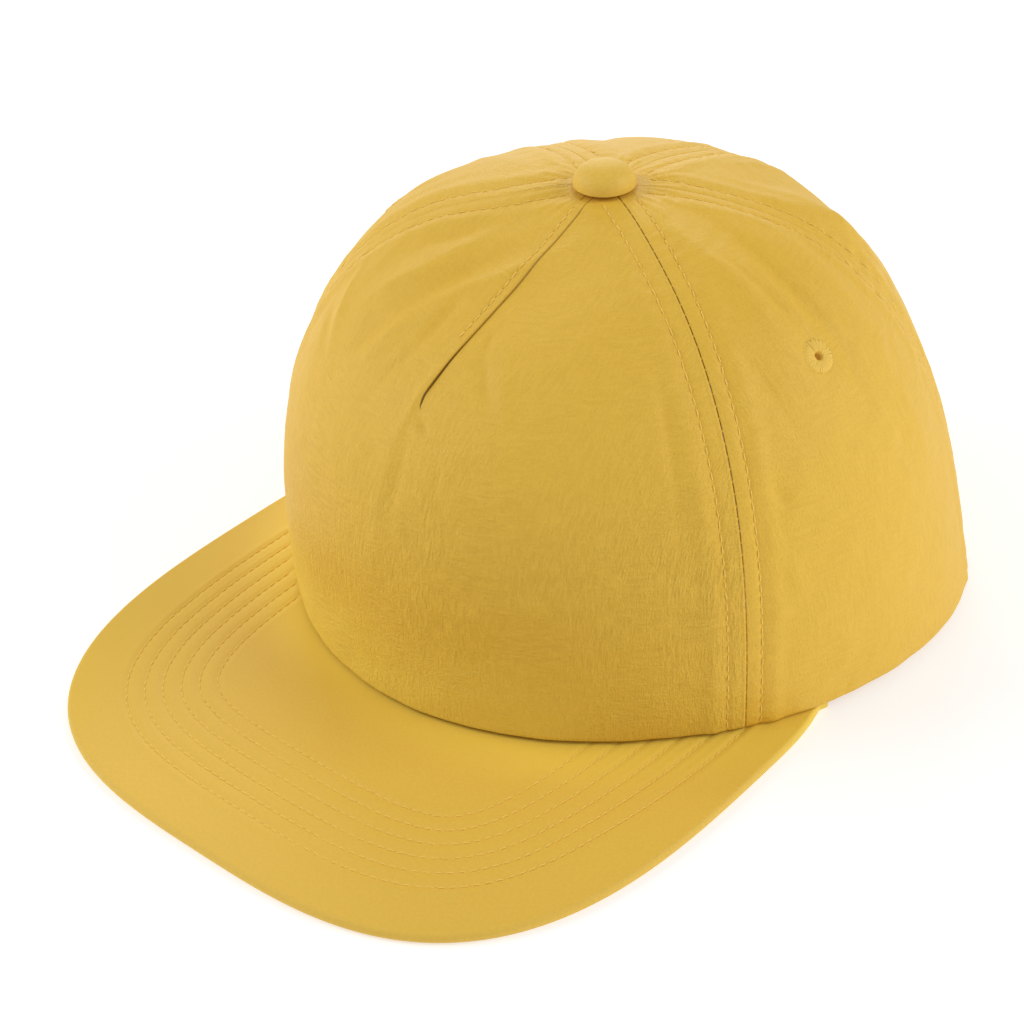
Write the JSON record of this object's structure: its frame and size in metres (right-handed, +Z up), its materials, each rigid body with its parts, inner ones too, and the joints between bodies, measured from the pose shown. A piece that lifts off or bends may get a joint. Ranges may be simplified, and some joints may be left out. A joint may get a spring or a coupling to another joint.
{
  "type": "duckbill cap with a flat brim",
  "caption": "Soft panelled cloth cap with a round crown, a covered top button, stitched eyelets and a wide flat brim, lying on its brim and rim.",
  "frame": {"origin": "on the floor, under the middle of the cap's bounding box", "axes": "+X to the wearer's left, -Y towards the front of the brim, +Z up through the button"},
  "size_m": [0.1908, 0.2534, 0.1177],
  "materials": {
    "crown_cloth": "matt crinkled woven cloth",
    "brim_cloth": "smooth matt woven cloth over a stiff board, with rows of stitching",
    "sweatband_cloth": "plain woven cotton",
    "button_cloth": "cloth drawn tight over a button",
    "eyelet_thread": "radial embroidery thread"
  },
  "bodies": {
    "root": {"front_panel": "crown_cloth", "left_side_panel": "crown_cloth", "right_side_panel": "crown_cloth", "left_back_panel": "crown_cloth", "right_back_panel": "crown_cloth", "brim": "brim_cloth", "sweatband": "sweatband_cloth", "button": "button_cloth", "left_eyelet": "eyelet_thread", "right_eyelet": "eyelet_thread"}
  },
  "joints": []
}
